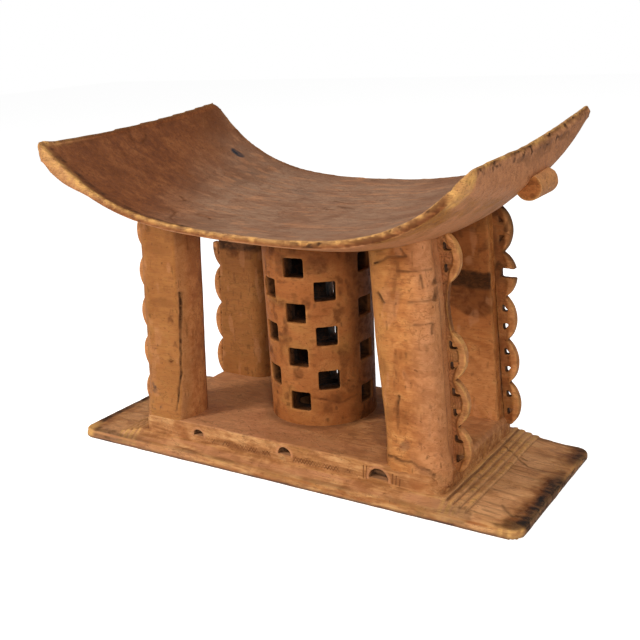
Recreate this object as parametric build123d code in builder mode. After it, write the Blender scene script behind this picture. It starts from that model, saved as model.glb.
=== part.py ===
from build123d import *
import os
from math import cos, radians, sin

# Ashanti stool: a curved seat on four leaning posts and a pierced hollow drum, over a stepped foot.
# Millimetres. The origin lies on the floor, under the middle of the seat: X runs along the seat,
# Y from front to back, Z up.

# ---- Base board ----
board_length = 560
board_front_y = -116
board_back_y = 92
board_edge_height = 10
board_corner_radius = 14
board_end_rise = 3.4  # climb of each end from its edge to its lowest step
step_count = 4
step_riser = 1.5
step_tread = 7.8
step_gap = 5  # from the plinth's end to the highest step

# ---- Plinth ----
plinth_half_length = 194
plinth_height = 21.2
plinth_end_chamfer = 4
front_ledge = 14  # sloped strip of the board in front of the plinth
back_ledge = 4
notch_depth = 9
notches = [(-109.5, 7, 7.1), (8, 8, 7.6), (123, 11, 4.1)]  # centre x, radius, sill above the board

# ---- Drum ----
drum_centre = (-7, 7)
drum_foot_radius = 60
drum_top_radius = 62
drum_wall = 20
window_width = 23
window_height = 21
window_pitch = 50.5
long_column_rows = 4
long_column_sill = 18  # underside of the lowest window above the plinth
short_column_rows = 3
short_column_sill = 42.5
short_column_angles = (-120, -51, 46, 130)  # the carver spaced the columns by eye
long_column_angles = (-83.5, -1.5, 95, 185)

# ---- Posts ----
post_width = 68
front_post_depth = 48
back_post_depth = 38
post_end_inset = 4  # from the plinth's end to the post's outer face
front_post_inset = 4  # from the plinth's front to the front posts
post_lean = 0.05  # inward move of the post per unit of height
post_inner_corner = 18
front_post_corners = (16, 4)  # outer corners: front, back
back_post_corners = (1.5, 8)

# ---- Fins ----
fin_thickness = 8
front_fin_offset = 8  # from the middle of the post's outer face
back_fin_offset = -1
lobe_count = 5
lobe_pitch = 48.5
lowest_lobe_height = 16.4  # middle of the lowest lobe above the plinth
front_lobe_reach = 21
back_lobe_reach = 17.5
cusp_reach = 8
stub_reach = 5  # what is left of a lobe that has broken away
split_lobe_reach = 20  # a lobe that has lost only its middle, down to a stub
split_gap = 10
split_gap_rise = 2  # middle of the gap above the middle of the lobe
cut_fin_height = 168.4  # top of the fin that has lost its upper end, above the plinth
piercing_inset = 5  # from the post to the piercing
piercing_rim = 6  # wood left outside the piercing
piercing_height = 9
upper_piercing_rise = 8
lower_piercing_drop = 5.5

# ---- Seat ----
seat_length = 500
seat_depth = 312
seat_corner_radius = 10
seat_middle_height = 280.7  # top of the long edges at mid length
seat_dish = 5  # depth of the middle below the long edges
seat_bow = 25.3  # even part of the rise to each end
seat_upturn = 59.6  # part of the rise that is kept for the ends
seat_side_tilt = 2.3
seat_end_tilt = -3.8
seat_twist = 6.5
seat_back_bow = 4.1
seat_left_warp = 7.5  # last twist of the left end, whose front corner has worn low
seat_left_warp_power = 8
edge_thickness = 6
edge_thickening = 5
middle_thickness = 30
middle_thickening = 5

# ---- Lugs ----
lug_radius = 13
lug_width = 48
lug_centre_y = 4
lug_inset = 1.5  # from the seat's end to the lug's axis
lug_drop = 9  # from the seat's underside to the lug's axis

# ---- Worked out from the sizes above ----
board_depth = board_back_y - board_front_y
board_slope_top = board_edge_height + board_end_rise
board_top = board_slope_top + step_count * step_riser
plinth_front_y = board_front_y + front_ledge
plinth_back_y = board_back_y - back_ledge
plinth_top = board_top + plinth_height
top_step_x = plinth_half_length + step_gap
post_outer_x = plinth_half_length - post_end_inset
front_post_start = plinth_front_y + front_post_inset
front_post_span = (front_post_start, front_post_start + front_post_depth)
back_post_span = (plinth_back_y - back_post_depth, plinth_back_y)
front_fin_y = sum(front_post_span) / 2 + front_fin_offset
back_fin_y = sum(back_post_span) / 2 + back_fin_offset
ceiling = seat_middle_height + 2 * (seat_bow + seat_upturn)
surface_margin = 1.02  # the seat's surfaces run a little past its outline
surface_steps = 16
surface_tolerance = 0.005

os.makedirs("parts", exist_ok=True)


def finish(piece, label):
    """Label one finished piece and write it to its own file."""
    piece.part.label = label
    export_step(piece.part, f"parts/{label}.step")


def seat_top_height(u, s):
    """Height of the seat's top; u runs from -1 to 1 along it, and s from front to back."""
    rise = (seat_bow + seat_back_bow * s) * u**2 + seat_upturn * u**4
    tilt = seat_side_tilt * s + (seat_end_tilt + seat_twist * s) * u
    warp = seat_left_warp * s * min(u, 0) ** seat_left_warp_power
    return seat_middle_height + rise + tilt + warp - seat_dish * (1 - s**2)


def seat_underside_height(u, s):
    """Height of the seat's underside: thin along the long edges, thick down the middle."""
    edge = edge_thickness + edge_thickening * u**2
    middle = middle_thickness + middle_thickening * u**2
    return seat_top_height(u, s) - edge - (middle - edge) * (1 - s**2)


def space_above(height):
    """Solid that fills the space above one of the seat's two surfaces."""
    stations = [surface_margin * (2 * i / surface_steps - 1) for i in range(surface_steps + 1)]
    grid = [
        [Vector(u * seat_length / 2, s * seat_depth / 2, height(u, s)) for s in stations]
        for u in stations
    ]
    with BuildPart() as space:
        surface = Face.make_surface_from_array_of_points(grid, surface_tolerance, None, 3, 8)
        extrude(surface, amount=ceiling, dir=(0, 0, 1))
    return space.part


def post_face_x(z):
    """Distance of a post's outer face from the middle of the stool, at height z."""
    return post_outer_x - post_lean * (z - plinth_top)


above_seat_top = space_above(seat_top_height)
above_seat_underside = space_above(seat_underside_height)

# ---- Base board: end-to-end and front-to-back outlines, crossed inside a rounded plan ----
right_steps = []
for step in range(step_count):
    edge_x = top_step_x + (step_count - 1 - step) * step_tread
    foot_z = board_slope_top + step * step_riser
    right_steps += [(edge_x, foot_z), (edge_x, foot_z + step_riser)]
right_outline = [(board_length / 2, 0), (board_length / 2, board_edge_height)] + right_steps
left_outline = [(-x, z) for x, z in reversed(right_outline)]

with BuildPart() as base_board:
    with BuildSketch(Plane.XZ.offset(-board_back_y)):
        with BuildLine():
            Polyline(*right_outline, *left_outline, close=True)
        make_face()
    extrude(amount=board_depth)
    with BuildSketch(Plane.YZ.offset(-board_length / 2)):
        with BuildLine():
            Polyline(
                (board_front_y, 0),
                (board_front_y, board_edge_height),
                (plinth_front_y, board_top),
                (plinth_back_y, board_top),
                (board_back_y, board_edge_height),
                (board_back_y, 0),
                close=True,
            )
        make_face()
    extrude(amount=board_length, mode=Mode.INTERSECT)
    with BuildSketch():
        with Locations((0, (board_front_y + board_back_y) / 2)):
            RectangleRounded(board_length, board_depth, board_corner_radius)
    extrude(amount=board_top, mode=Mode.INTERSECT)
finish(base_board, "base_board")

# ---- Plinth: a block with chamfered ends and half-round notches in its front and back ----
with BuildPart() as plinth:
    with BuildSketch(Plane.XY.offset(board_top)):
        with Locations((0, (plinth_front_y + plinth_back_y) / 2)):
            Rectangle(2 * plinth_half_length, plinth_back_y - plinth_front_y)
    extrude(amount=plinth_height)
    end_edges = plinth.edges().filter_by(Axis.Y).group_by(Axis.Z)[-1]
    chamfer(end_edges, plinth_end_chamfer)
    for face_y, inward in ((plinth_front_y, -notch_depth), (plinth_back_y, notch_depth)):
        with BuildSketch(Plane.XZ.offset(-face_y)):
            for notch_x, notch_radius, sill in notches:
                with BuildLine():
                    arch = CenterArc((notch_x, board_top + sill), notch_radius, 0, 180)
                    Line(arch @ 1, arch @ 0)
                make_face()
        extrude(amount=inward, mode=Mode.SUBTRACT)
finish(plinth, "plinth")

# ---- Drum: a hollow, slightly flared column with square windows in staggered columns ----
with BuildPart() as drum:
    for height, radius in ((plinth_top, drum_foot_radius), (seat_middle_height, drum_top_radius)):
        with BuildSketch(Plane.XY.offset(height)):
            with Locations(drum_centre):
                Circle(radius)
    loft()
    with BuildSketch(Plane.XY.offset(plinth_top)):
        with Locations(drum_centre):
            Circle(drum_foot_radius - drum_wall)
    extrude(amount=seat_middle_height, mode=Mode.SUBTRACT)
    short_columns = (short_column_angles, short_column_rows, short_column_sill)
    long_columns = (long_column_angles, long_column_rows, long_column_sill)
    for angles, rows, sill in (short_columns, long_columns):
        for angle in angles:
            window_x = drum_centre[0] + drum_foot_radius * cos(radians(angle))
            window_y = drum_centre[1] + drum_foot_radius * sin(radians(angle))
            for row in range(rows):
                window_z = plinth_top + sill + window_height / 2 + row * window_pitch
                with Locations(Location((window_x, window_y, window_z), (0, 0, angle))):
                    Box(2 * drum_wall + window_width, window_width, window_height, mode=Mode.SUBTRACT)
    add(above_seat_underside, mode=Mode.SUBTRACT)
finish(drum, "drum")


def make_post(side, span, corners):
    """One leaning corner post; side is 1 on the right and -1 on the left."""
    inner, outer = (0, -1) if side > 0 else (-1, 0)
    with BuildPart() as post:
        with BuildSketch(Plane.XY.offset(plinth_top)) as section:
            with Locations((side * (post_outer_x - post_width / 2), sum(span) / 2)):
                Rectangle(post_width, span[1] - span[0])
            fillet(section.vertices().group_by(Axis.X)[inner], post_inner_corner)
            for end, radius in zip((0, -1), corners):
                outer_corners = section.vertices().group_by(Axis.X)[outer]
                fillet(outer_corners.sort_by(Axis.Y)[end], radius)
        extrude(amount=ceiling - plinth_top, dir=(-side * post_lean, 0, 1))
        add(above_seat_underside, mode=Mode.SUBTRACT)
    return post


def make_fin(side, fin_y, lobe_reach, post, broken_lobe=None, split_lobe=None, top=None):
    """One scalloped fin on a post's outer face; its lobes count from 0, the lowest one."""
    lobe_heights = [plinth_top + lowest_lobe_height + i * lobe_pitch for i in range(lobe_count)]
    reaches = [lobe_reach] * lobe_count
    if broken_lobe is not None:
        reaches[broken_lobe] = stub_reach
    if split_lobe is not None:
        reaches[split_lobe] = split_lobe_reach
    foot = lobe_heights[0] - lobe_pitch / 2
    neck = lobe_heights[-1] + lobe_pitch / 2

    def at(reach, z):
        return (side * (post_face_x(z) + reach), z)

    with BuildPart() as fin:
        with BuildSketch(Plane.XZ.offset(-fin_y)):
            with BuildLine():
                for reach, z in zip(reaches, lobe_heights):
                    start = at(cusp_reach, z - lobe_pitch / 2)
                    end = at(cusp_reach, z + lobe_pitch / 2)
                    ThreePointArc(start, at(reach, z), end)
                Polyline(
                    at(cusp_reach, neck),
                    at(cusp_reach, ceiling),
                    at(-post_inner_corner, ceiling),
                    at(-post_inner_corner, foot),
                    at(cusp_reach, foot),
                )
            make_face()
            if split_lobe is not None:
                gap_z = lobe_heights[split_lobe] + split_gap_rise
                with BuildSketch(mode=Mode.SUBTRACT):
                    with Locations(at(stub_reach + split_lobe_reach, gap_z)):
                        Rectangle(2 * split_lobe_reach, split_gap)
            with BuildSketch(mode=Mode.SUBTRACT):
                for lobe, z in enumerate(lobe_heights):
                    if lobe in (broken_lobe, split_lobe):
                        continue
                    near = piercing_inset
                    far = lobe_reach - piercing_rim
                    high = z + upper_piercing_rise
                    low = z - lower_piercing_drop
                    for corners in (
                        (at(near, high + piercing_height), at(near, high), at(far, high)),
                        (at(near, low), at(far, low), at(near, low - piercing_height)),
                    ):
                        with BuildLine():
                            Polyline(*corners, close=True)
                        make_face()
        extrude(amount=fin_thickness / 2, both=True)
        add(post.part, mode=Mode.SUBTRACT)
        add(plinth.part, mode=Mode.SUBTRACT)
        add(above_seat_underside, mode=Mode.SUBTRACT)
        if top is not None:
            split(bisect_by=Plane.XY.offset(plinth_top + top), keep=Keep.BOTTOM)
    return fin


# ---- Posts, each with its fin; three of the fins have lost a piece ----
post_front_left = make_post(-1, front_post_span, front_post_corners)
finish(post_front_left, "post_front_left")
post_front_right = make_post(1, front_post_span, front_post_corners)
finish(post_front_right, "post_front_right")
post_back_left = make_post(-1, back_post_span, back_post_corners)
finish(post_back_left, "post_back_left")
post_back_right = make_post(1, back_post_span, back_post_corners)
finish(post_back_right, "post_back_right")

fin_front_left = make_fin(-1, front_fin_y, front_lobe_reach, post_front_left)
finish(fin_front_left, "fin_front_left")
fin_front_right = make_fin(1, front_fin_y, front_lobe_reach, post_front_right, broken_lobe=3)
finish(fin_front_right, "fin_front_right")
fin_back_left = make_fin(-1, back_fin_y, back_lobe_reach, post_back_left, top=cut_fin_height)
finish(fin_back_left, "fin_back_left")
fin_back_right = make_fin(1, back_fin_y, back_lobe_reach, post_back_right, split_lobe=3)
finish(fin_back_right, "fin_back_right")

# ---- Seat: the space between its two curved surfaces, inside a rounded plan ----
with BuildPart() as seat:
    with BuildSketch():
        RectangleRounded(seat_length, seat_depth, seat_corner_radius)
    extrude(amount=ceiling)
    add(above_seat_underside, mode=Mode.INTERSECT)
    add(above_seat_top, mode=Mode.SUBTRACT)
finish(seat, "seat")

# ---- Lugs: half-round grips across the underside of the two upturned ends ----
for side, label in ((-1, "lug_left"), (1, "lug_right")):
    axis_x = side * (seat_length / 2 - lug_inset)
    axis_z = seat_underside_height(side, 0) - lug_drop
    with BuildPart() as lug:
        with BuildSketch(Plane.XZ.offset(-lug_centre_y)):
            with Locations((axis_x, axis_z)):
                Circle(lug_radius)
        extrude(amount=lug_width / 2, both=True)
        add(above_seat_underside, mode=Mode.SUBTRACT)
    finish(lug, label)
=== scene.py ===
"""Ashanti stool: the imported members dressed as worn, hand-carved wood."""
from functools import partial

import bmesh
import bpy
import numpy as np
from mathutils import Matrix, Vector
from mathutils.bvhtree import BVHTree


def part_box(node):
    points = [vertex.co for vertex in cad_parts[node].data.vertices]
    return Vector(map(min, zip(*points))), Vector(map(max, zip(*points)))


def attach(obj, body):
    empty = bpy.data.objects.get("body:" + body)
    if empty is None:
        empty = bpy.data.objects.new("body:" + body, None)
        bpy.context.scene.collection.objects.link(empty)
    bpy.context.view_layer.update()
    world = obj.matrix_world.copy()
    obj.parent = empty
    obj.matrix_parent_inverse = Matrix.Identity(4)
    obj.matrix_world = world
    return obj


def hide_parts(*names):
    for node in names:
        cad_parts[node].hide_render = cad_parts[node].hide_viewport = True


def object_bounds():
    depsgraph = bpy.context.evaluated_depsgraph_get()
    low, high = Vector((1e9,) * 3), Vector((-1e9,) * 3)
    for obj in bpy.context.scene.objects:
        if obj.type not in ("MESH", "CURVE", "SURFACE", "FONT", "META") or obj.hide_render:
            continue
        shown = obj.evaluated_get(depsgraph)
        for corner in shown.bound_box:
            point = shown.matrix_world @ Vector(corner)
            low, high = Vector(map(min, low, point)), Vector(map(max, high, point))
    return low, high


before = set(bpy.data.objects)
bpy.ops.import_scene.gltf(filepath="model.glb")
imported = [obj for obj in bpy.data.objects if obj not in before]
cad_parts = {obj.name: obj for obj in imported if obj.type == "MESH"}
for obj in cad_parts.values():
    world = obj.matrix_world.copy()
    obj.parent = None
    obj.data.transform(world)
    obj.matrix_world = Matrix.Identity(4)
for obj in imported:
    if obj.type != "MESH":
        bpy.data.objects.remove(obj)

MM = 0.001
cad_bounds = [[float(v) for v in corner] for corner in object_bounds()]


# ---------------- places, in millimetres
def box(name):
    """Lowest and highest corners of a CAD node."""
    low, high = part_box(name)
    return np.array(low) / MM, np.array(high) / MM


BOARD_LOW, BOARD_HIGH = box("base_board")
PLINTH_LOW, PLINTH_HIGH = box("plinth")
SEAT_LOW, SEAT_HIGH = box("seat")
DRUM_LOW, DRUM_HIGH = box("drum")
DRUM_CENTRE = (DRUM_LOW + DRUM_HIGH) / 2
DRUM_RADIUS = (DRUM_HIGH[0] - DRUM_LOW[0]) / 2
PLINTH_TOP = PLINTH_HIGH[2]
BOARD_TOP = BOARD_HIGH[2]
FRONT_FACE = box("post_front_left")[0][1]

RIGHTWARD, FORWARD, UPWARD = (1, 0, 0), (0, -1, 0), (0, 0, 1)
SINK_DEPTH = 3  # how far a piece runs on into its neighbours
TOUCH = 0.35  # points this near a neighbour touch it
FLOOR_GAP = 0.5  # from the stool down to the floor


# ---------------- noise
HASH_PRIMES = (73856093, 19349663, 83492791)
HASH_ROUNDS = ((13, 1274126177), (15, 668265263))
SEED_STEP, SEED_START = 7919, 17
LOW_BITS = 0x7FFFFFFF
AXIS_SEEDS = 40  # between the seeds of two axes


def value_noise(points, size, seed):
    """Smooth random values from -1 to 1; size is the width of a bump, one number or one per axis."""
    scaled = np.asarray(points) / np.asarray(size, dtype=float)
    cell = np.floor(scaled).astype(np.int64)
    part = scaled - cell
    part = part * part * (3 - 2 * part)
    total = np.zeros(len(scaled))
    for corner in range(8):
        offset = np.array([corner & 1, corner >> 1 & 1, corner >> 2 & 1])
        mixed = np.bitwise_xor.reduce((cell + offset) * HASH_PRIMES, axis=1)
        mixed ^= seed * SEED_STEP + SEED_START
        for bits, factor in HASH_ROUNDS:
            mixed = (mixed ^ (mixed >> bits)) * factor & LOW_BITS
        mixed ^= mixed >> 16
        value = (mixed & 0xFFFF) / (0xFFFF / 2) - 1
        total += value * np.prod(np.where(offset, part, 1 - part), axis=1)
    return total


def rough_noise(points, size, seed, octaves=3):
    """Several layers of noise, each half as wide and half as strong as the one before."""
    total = np.zeros(len(points))
    for octave in range(octaves):
        total += value_noise(points, np.asarray(size) / 2**octave, seed + octave) / 2**octave
    return total / 1.6


def ramp(low, high, values):
    """0 below low, 1 above high, and smooth between; low may lie above high."""
    t = np.clip((values - low) / (high - low), 0, 1)
    return t * t * (3 - 2 * t)


def wander(points, amount, size, seed, places=None):
    """Places shifted about by noise, so that what is drawn by them comes out crooked."""
    places = points if places is None else places
    shift = [rough_noise(points, size, seed + AXIS_SEEDS * axis, 2) for axis in range(places.shape[1])]
    return places + amount * np.stack(shift, axis=1)


def near_path(places, path, width):
    """1 on a path of straight runs, falling to 0 at width from it."""
    best = np.full(len(places), np.inf)
    for start, end in zip(path[:-1], path[1:]):
        start = np.array(start, dtype=float)
        run = np.array(end, dtype=float) - start
        along = np.clip((places - start) @ run / max(run @ run, 1e-9), 0, 1)
        best = np.minimum(best, np.linalg.norm(places - start - along[:, None] * run, axis=1))
    return ramp(width, 0.25 * width, best)


def near_spot(places, centre, radii, soft=0.5):
    """1 inside an ellipse or ellipsoid, falling to 0 past its edge."""
    reach = np.linalg.norm((places - np.array(centre)) / np.array(radii), axis=1)
    return ramp(1 + soft / 2, 1 - soft / 2, reach)


# ---------------- dense meshes
CURVE_SCALE = 5  # brings the bend of a worn arris to about 1
FLECK_EDGE = 0.15
TOOL_MARKS = 0.18


class Carving:
    """A dense copy of a CAD node, in millimetres, that is pushed about and painted point by point."""

    def __init__(self, node, voxel, sink_into=(), smoothing=3, plugs=()):
        self.node = node
        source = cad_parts[node]
        mesh = source.data.copy()
        mesh.transform(source.matrix_world)
        mesh.materials.clear()
        self.object = bpy.data.objects.new(f"{node}_wood", mesh)
        bpy.context.scene.collection.objects.link(self.object)
        for neighbour in sink_into:
            self.sink(mesh, neighbour)
        for corners, low, high in plugs:
            self.plug(mesh, corners, low, high)
        self.tree = BVHTree.FromPolygons([v.co for v in mesh.vertices], [p.vertices for p in mesh.polygons])
        remesh = self.object.modifiers.new("dense", "REMESH")
        remesh.mode = "VOXEL"
        remesh.voxel_size = voxel * MM
        soften = self.object.modifiers.new("worn", "SMOOTH")
        soften.iterations = smoothing
        graph = bpy.context.evaluated_depsgraph_get()
        self.mesh = bpy.data.meshes.new_from_object(self.object.evaluated_get(graph))
        self.mesh.name = self.object.name
        self.object.modifiers.clear()
        self.object.data = self.mesh
        self.paints = {}
        self.read()

    @staticmethod
    def sink(mesh, neighbour):
        """Moves the points that touch a neighbour a little way into it, so that no seam shows."""
        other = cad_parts[neighbour]
        corners = [other.matrix_world @ v.co for v in other.data.vertices]
        tree = BVHTree.FromPolygons(corners, [p.vertices for p in other.data.polygons])
        for vertex in mesh.vertices:
            spot, normal, _, _ = tree.find_nearest(vertex.co, TOUCH * MM)
            if spot is not None:
                vertex.co -= normal * SINK_DEPTH * MM

    @staticmethod
    def plug(mesh, corners, low, high):
        """Adds a prism to a mesh: its corners in x and z, between two places along y."""
        work = bmesh.new()
        work.from_mesh(mesh)
        ends = [[work.verts.new(Vector((x, y, z)) * MM) for x, z in corners] for y in (low, high)]
        faces = [work.faces.new(end) for end in ends]
        for i in range(len(corners)):
            faces.append(work.faces.new((ends[0][i - 1], ends[0][i], ends[1][i], ends[1][i - 1])))
        bmesh.ops.recalc_face_normals(work, faces=faces)
        work.to_mesh(mesh)
        work.free()

    def read(self):
        """Takes the points and edges from the mesh again, after its faces have changed."""
        flat = np.empty(len(self.mesh.vertices) * 3)
        self.mesh.vertices.foreach_get("co", flat)
        self.points = flat.reshape(-1, 3) / MM
        edges = np.empty(len(self.mesh.edges) * 2, dtype=np.int64)
        self.mesh.edges.foreach_get("vertices", edges)
        self.edges = edges.reshape(-1, 2)
        self.valence = np.bincount(self.edges.ravel(), minlength=len(self.points)).clip(1)
        run = self.points[self.edges[:, 0]] - self.points[self.edges[:, 1]]
        self.spacing = float(np.median(np.linalg.norm(run, axis=1)))

    def write(self):
        np.clip(self.points, np.array(cad_bounds[0]) / MM, np.array(cad_bounds[1]) / MM, out=self.points)
        self.mesh.vertices.foreach_set("co", (self.points * MM).ravel())
        self.mesh.update()

    def normals(self):
        flat = np.empty(len(self.mesh.vertices) * 3, dtype=np.float32)
        self.mesh.vertex_normals.foreach_get("vector", flat)
        return flat.reshape(-1, 3).astype(float)

    def refine(self, inside):
        """Divides the faces inside a region in four."""
        work = bmesh.new()
        work.from_mesh(self.mesh)
        chosen = [e for e in work.edges if inside[e.verts[0].index] and inside[e.verts[1].index]]
        bmesh.ops.subdivide_edges(work, edges=chosen, cuts=1, use_grid_fill=True)
        work.to_mesh(self.mesh)
        work.free()
        self.read()

    def snap(self, share, inside=None):
        """Draws the points back to the CAD surface by a share of their distance from it."""
        chosen = range(len(self.points)) if inside is None else np.flatnonzero(inside)
        for index in chosen:
            spot, _, _, _ = self.tree.find_nearest(Vector(self.points[index] * MM))
            self.points[index] += share * (np.array(spot) / MM - self.points[index])
        self.write()

    def spread(self, values, rounds):
        """Averages values with their neighbours, to widen and soften them."""
        a, b = self.edges[:, 0], self.edges[:, 1]
        for _ in range(rounds):
            total = np.bincount(a, values[b], len(values)) + np.bincount(b, values[a], len(values))
            values = (values + total / self.valence) / 2
        return values

    def soften(self, rounds, inside):
        """Rounds off the surface by moving points towards their neighbours' middle."""
        for _ in range(rounds):
            middle = np.stack([self.spread(values, 1) for values in self.points.T], axis=1)
            self.points += inside[:, None] * (middle - self.points)
        self.write()

    def curvature(self, rounds):
        """Positive along raised edges and negative in hollows, roughly from -1 to 1."""
        middle = np.stack([2 * self.spread(values, 1) - values for values in self.points.T], axis=1)
        bend = np.einsum("ij,ij->i", self.points - middle, self.normals()) / self.spacing
        return self.spread(bend, rounds) * CURVE_SCALE

    def push(self, amount):
        """Moves each point out along its normal by amount."""
        self.points += self.normals() * np.asarray(amount)[:, None]
        self.write()

    def shift(self, amount, direction):
        """Moves each point by amount in one direction."""
        self.points += np.asarray(amount)[:, None] * np.array(direction, dtype=float)
        self.write()

    def depth(self):
        """How far each point lies below the highest CAD surface over it."""
        low, high = (np.array(corner) for corner in box(self.node))
        middle = (low + high) / 2
        inner = middle + 0.994 * (self.points - middle)
        below = np.zeros(len(inner))
        for index, (x, y, _) in enumerate(inner):
            spot = self.tree.ray_cast(Vector((x, y, high[2] + 5)) * MM, Vector((0, 0, -1)))[0]
            if spot is not None:
                below[index] = spot.z / MM - inner[index, 2]
        return below

    def noise(self, size, seed, octaves=3):
        return rough_noise(self.points, size, seed, octaves)

    def cloud(self, low, high, size, seed, octaves=3):
        """Soft patches of a given size, 0 where the noise is at low and 1 where it is at high."""
        return ramp(low, high, self.noise(size, seed, octaves))

    def fleck(self, size, seed, least):
        """Scattered small marks of a given size; the lower least is, the more there are."""
        return self.cloud(least, least + FLECK_EDGE, size, seed, 2)

    def facing(self, direction, least=0.3):
        """1 where the surface faces a direction."""
        return ramp(least - 0.15, least + 0.15, self.normals() @ np.array(direction, dtype=float))

    def paint(self, mask, **strengths):
        """Paints a mask in one or more colours; where paint lies already, the stronger one stays."""
        for name, strength in strengths.items():
            self.paints[name] = np.maximum(self.paints.get(name, 0), np.clip(strength * mask, 0, 1))

    def speckle(self, mask, size, seed, least, **strengths):
        """Paints a mask broken up into small marks."""
        self.paint(mask * self.fleck(size, seed, least), **strengths)

    def spots(self, mask, places, rows, soft=0.5, **strengths):
        """Paints the spots of a mask, each given by its centre and radii."""
        for centre, radii in rows:
            self.paint(mask * near_spot(places, centre, radii, soft), **strengths)

    def carve(self, mask, depth, paint, strength=1.0):
        """Cuts a groove where mask is set, and darkens it."""
        self.push(-np.asarray(depth) * mask)
        self.paint(mask, **{paint: strength})

    def finish(self, material):
        """Stores the masks, and hands the piece over in place of its CAD node."""
        for name in PAINT_COLOURS:
            layer = self.mesh.attributes.new(name, "FLOAT", "POINT")
            values = np.broadcast_to(self.paints.get(name, 0.0), len(self.points))
            layer.data.foreach_set("value", values.astype(np.float32))
        self.mesh.materials.append(material)
        self.mesh.polygons.foreach_set("use_smooth", [True] * len(self.mesh.polygons))
        self.mesh.update()
        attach(self.object, "root")
        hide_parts(self.node)


def weather(piece, seed, wave, wear, gold=0.6, dirt=0.9, blotch=1.0):
    """Gives a piece its uneven hand-cut surface, chipped edges, and dirt in its hollows."""
    bend = piece.curvature(2)
    raised = np.clip(bend, 0, 1)
    broad = piece.spread(raised, 4)
    chips = piece.cloud(-0.1, 0.7, 9, seed + 9)
    breakup = 0.3 + 0.7 * piece.cloud(-0.5, 0.4, 12, seed + 12)
    tint = piece.noise((34, 26, 26), seed + 21)
    piece.push(
        wave * (piece.noise(45, seed) - 0.4)
        + TOOL_MARKS * piece.noise((14, 9, 9), seed + 5, 2)
        - wear * piece.spread(raised, 2) * (0.25 + chips)
    )
    piece.paint(np.clip(1.8 * broad, 0, 1) * breakup, gold=gold)
    piece.paint(np.clip(-2.2 * piece.spread(np.minimum(bend, 0), 2) - 0.1, 0, 1), dirt=dirt)
    piece.paint(ramp(0.1, 0.55, tint), red=0.75 * blotch)
    piece.paint(ramp(0.1, 0.55, -tint), olive=0.7 * blotch)


def crack(piece, places, path, facing=None, depth=0.8, width=1.4, paint="dirt", strength=1.0):
    """Cuts a crooked, broken crack along a path, with a stain round it."""
    bent = wander(piece.points, 0.9, 7, 31, places)
    fade = 0.65 + 0.35 * piece.cloud(-0.35, 0.15, 9, 41, 2)
    side = 1 if facing is None else piece.facing(facing)
    halo = near_path(bent, path, 4 * width) * side * piece.cloud(-0.2, 0.4, 12, 43)
    piece.paint(halo * strength, brown=0.45)
    groove = near_path(bent, path, width * (0.6 + 0.6 * fade)) * side
    piece.carve(groove, depth * fade, paint, strength * fade)


# ---------------- materials
def feed(tree, socket, value):
    """Links a socket to another one, or sets it to a number or colour."""
    if isinstance(value, bpy.types.NodeSocket):
        tree.links.new(value, socket)
    elif isinstance(value, (tuple, list)) and len(value) == 3 and socket.type == "RGBA":
        socket.default_value = (*value, 1)
    else:
        socket.default_value = value


def make_node(tree, kind, inputs=(), **settings):
    """Adds a node; inputs gives links, numbers or colours to its sockets, by name or index."""
    made = tree.nodes.new(kind)
    for key, value in settings.items():
        setattr(made, key, value)
    for key, value in dict(inputs).items():
        feed(tree, made.inputs[key], value)
    return made


def empty_tree(owner):
    """The cleared node tree of a material or world."""
    owner.use_nodes = True
    owner.node_tree.nodes.clear()
    return owner.node_tree


def mix_colour(tree, factor, under, over):
    return make_node(tree, "ShaderNodeMix", {0: factor, 6: under, 7: over}, data_type="RGBA").outputs[2]


def arithmetic(tree, operation, *values, clamp=False):
    maths = make_node(tree, "ShaderNodeMath", enumerate(values), operation=operation, use_clamp=clamp)
    return maths.outputs[0]


NOISE_ROUGHNESS, NOISE_DISTORTION = 0.6, 0.5
SEED_SHIFT = (1, 1.7, 0.6)


def pattern(tree, place, seed, along, across, detail, low, high):
    """Noise stretched along the grain, which runs along X; its contrast is set by low and high."""
    scale = (1 / (along * MM), 1 / (across * MM), 1 / (across * MM))
    start = [seed * share for share in SEED_SHIFT]
    mapping = make_node(tree, "ShaderNodeMapping", {"Vector": place, "Scale": scale, "Location": start})
    settings = {"Scale": 1, "Detail": detail, "Roughness": NOISE_ROUGHNESS, "Distortion": NOISE_DISTORTION}
    noise = make_node(tree, "ShaderNodeTexNoise", {"Vector": mapping.outputs[0], **settings})
    span = {"Value": noise.outputs["Fac"], "From Min": low, "From Max": high}
    return make_node(tree, "ShaderNodeMapRange", span, interpolation_type="SMOOTHSTEP").outputs[0]


# later colours lie over earlier ones
PAINT_COLOURS = {
    "red": (0.33, 0.10, 0.025),
    # grey also paints the sheen on the seat's top: a painted sheen
    "grey": (0.35, 0.195, 0.115),
    "olive": (0.40, 0.175, 0.045),
    # brown also paints shade: on the drum, the back posts, the seat's left end and the board's step grooves
    "brown": (0.120, 0.034, 0.007),
    # pale also paints light: on the plinth's top and end arrises, and on the front posts' sides
    "pale": (0.54, 0.235, 0.105),
    "tan": (0.74, 0.38, 0.17),
    "amber": (0.56, 0.235, 0.085),
    "gold": (0.68, 0.36, 0.11),
    # dirt also paints shade: inside the drum's windows, round the drum's foot, on the drum's +x side and in
    # the fins' piercings
    "dirt": (0.046, 0.016, 0.004),
    # black also paints the shade inside the drum
    "black": (0.012, 0.009, 0.008),
    # ink also paints the contact shadow along the board's bottom
    "ink": (0.02, 0.025, 0.035),
}


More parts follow.
